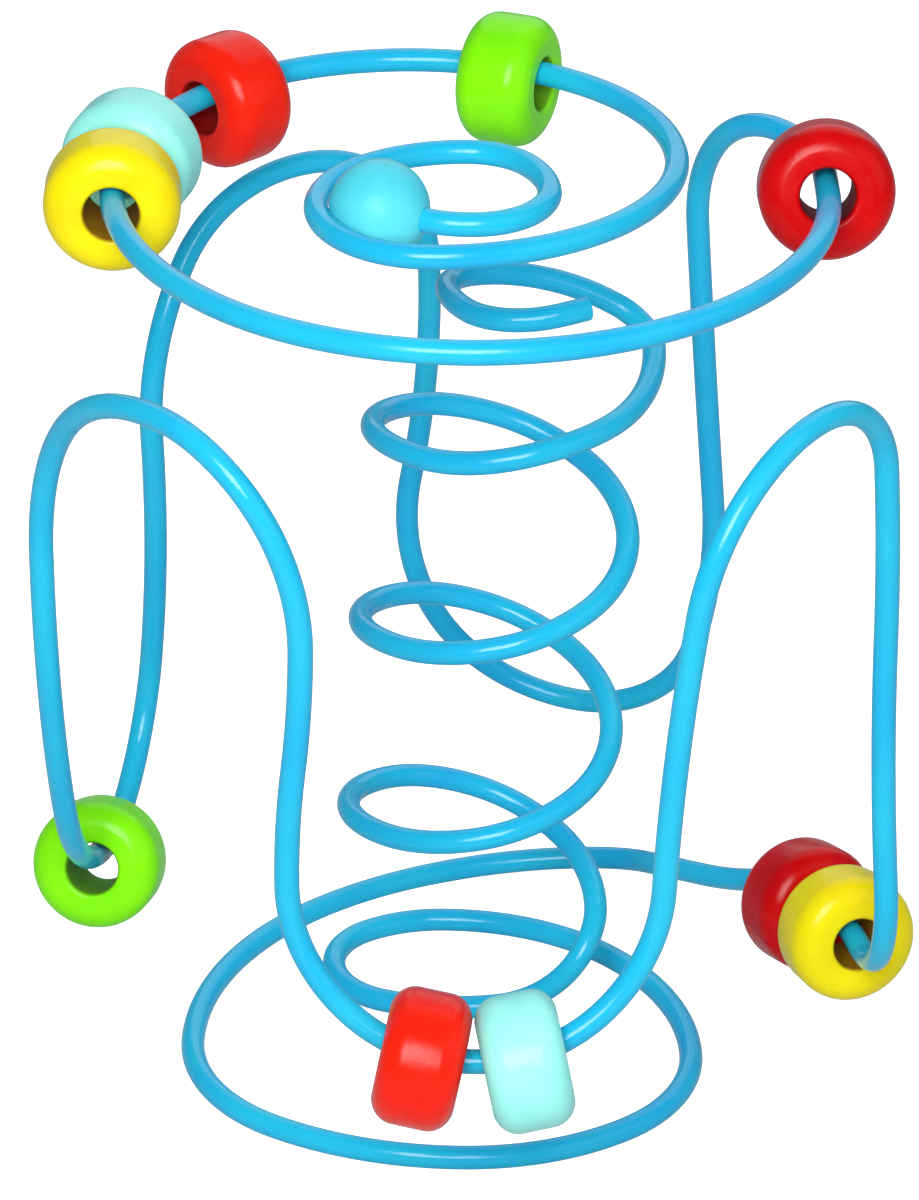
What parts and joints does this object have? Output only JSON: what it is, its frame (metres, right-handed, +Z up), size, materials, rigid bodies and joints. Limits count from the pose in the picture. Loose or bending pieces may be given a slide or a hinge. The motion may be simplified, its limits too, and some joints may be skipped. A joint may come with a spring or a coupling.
{
  "type": "bead maze",
  "caption": "Free-standing bead maze: one long bent wire with a spiral top ring, a crown of tall arches, a standing base ring and an inner helix, with loose round beads and an end ball.",
  "frame": {"origin": "on the floor, at the middle of the maze's outline seen from above", "axes": "+Z up, +X to the right and -Y to the front as the maze is pictured"},
  "size_m": [0.1624, 0.1711, 0.1793],
  "materials": {
    "wire_blue": "glossy sky blue coating on steel wire",
    "ball_blue": "glossy light cyan lacquer",
    "bead_red": "glossy pure red lacquer",
    "bead_orange": "glossy orange-red lacquer",
    "bead_yellow": "glossy yellow lacquer",
    "bead_green": "glossy lime green lacquer",
    "bead_aqua": "glossy pale aqua lacquer"
  },
  "bodies": {
    "maze": {"wire_top_loop": "wire_blue", "wire_top_ring": "wire_blue", "wire_shoulder": "wire_blue", "wire_back_valley": "wire_blue", "wire_back_arch": "wire_blue", "wire_left_valley": "wire_blue", "wire_left_arch": "wire_blue", "wire_front_valley": "wire_blue", "wire_right_arch": "wire_blue", "wire_right_bend": "wire_blue", "wire_base_ring": "wire_blue", "wire_helix": "wire_blue", "end_ball": "ball_blue"},
    "bead_top_green": {"bead_top_green": "bead_green"},
    "bead_top_orange": {"bead_top_orange": "bead_orange"},
    "bead_top_aqua": {"bead_top_aqua": "bead_aqua"},
    "bead_top_yellow": {"bead_top_yellow": "bead_yellow"},
    "bead_top_red": {"bead_top_red": "bead_red"},
    "bead_left_green": {"bead_left_green": "bead_green"},
    "bead_front_orange": {"bead_front_orange": "bead_orange"},
    "bead_front_aqua": {"bead_front_aqua": "bead_aqua"},
    "bead_base_yellow": {"bead_base_yellow": "bead_yellow"},
    "bead_base_red": {"bead_base_red": "bead_red"}
  },
  "joints": [
    {"name": "bead_top_green_travel", "type": "hinge", "parent": "maze", "child": "bead_top_green", "pos_m": [-0.011, 0.02191, 0.1687], "axis": [0, 0, 1], "range_deg": [-42, 21]},
    {"name": "bead_top_orange_travel", "type": "hinge", "parent": "maze", "child": "bead_top_orange", "pos_m": [-0.011, 0.02243, 0.1687], "axis": [0, 0, 1], "range_deg": [-23, 8.4]},
    {"name": "bead_top_aqua_travel", "type": "hinge", "parent": "maze", "child": "bead_top_aqua", "pos_m": [0.0016, 0.0122, 0.1687], "axis": [0, 0, 1], "range_deg": [-6.3, 0.9]},
    {"name": "bead_top_yellow_travel", "type": "hinge", "parent": "maze", "child": "bead_top_yellow", "pos_m": [0.01222, 0.0122, 0.1687], "axis": [0, 0, 1], "range_deg": [-0.8, 45]},
    {"name": "bead_top_red_travel", "type": "hinge", "parent": "maze", "child": "bead_top_red", "pos_m": [0.06755, 0.0068, 0.05279], "axis": [-0.9988, 0, -0.0487], "range_deg": [-8.2, 3.7]},
    {"name": "bead_left_green_travel", "type": "hinge", "parent": "maze", "child": "bead_left_green", "pos_m": [-0.06575, 0.03566, 0.07376], "axis": [-0.9869, 0.1598, 0.0198], "range_deg": [-13, 70.9]},
    {"name": "bead_front_orange_travel", "type": "hinge", "parent": "maze", "child": "bead_front_orange", "pos_m": [0.00122, -0.06188, 0.0735], "axis": [0.013, -0.9299, 0.3675], "range_deg": [-27, 0]},
    {"name": "bead_front_aqua_travel", "type": "hinge", "parent": "maze", "child": "bead_front_aqua", "pos_m": [0.00123, -0.06262, 0.07263], "axis": [0.013, -0.9343, 0.3563], "range_deg": [0, 32.4]},
    {"name": "bead_base_yellow_travel", "type": "hinge", "parent": "maze", "child": "bead_base_yellow", "pos_m": [0.0165, -0.01637, 0.03006], "axis": [0.0527, 0.0621, 0.9967], "range_deg": [-10.7, 0]},
    {"name": "bead_base_red_travel", "type": "hinge", "parent": "maze", "child": "bead_base_red", "pos_m": [0.05717, -0.00085, -0.03138], "axis": [-0.8994, -0.3885, 0.2002], "range_deg": [0, 6.7]}
  ]
}
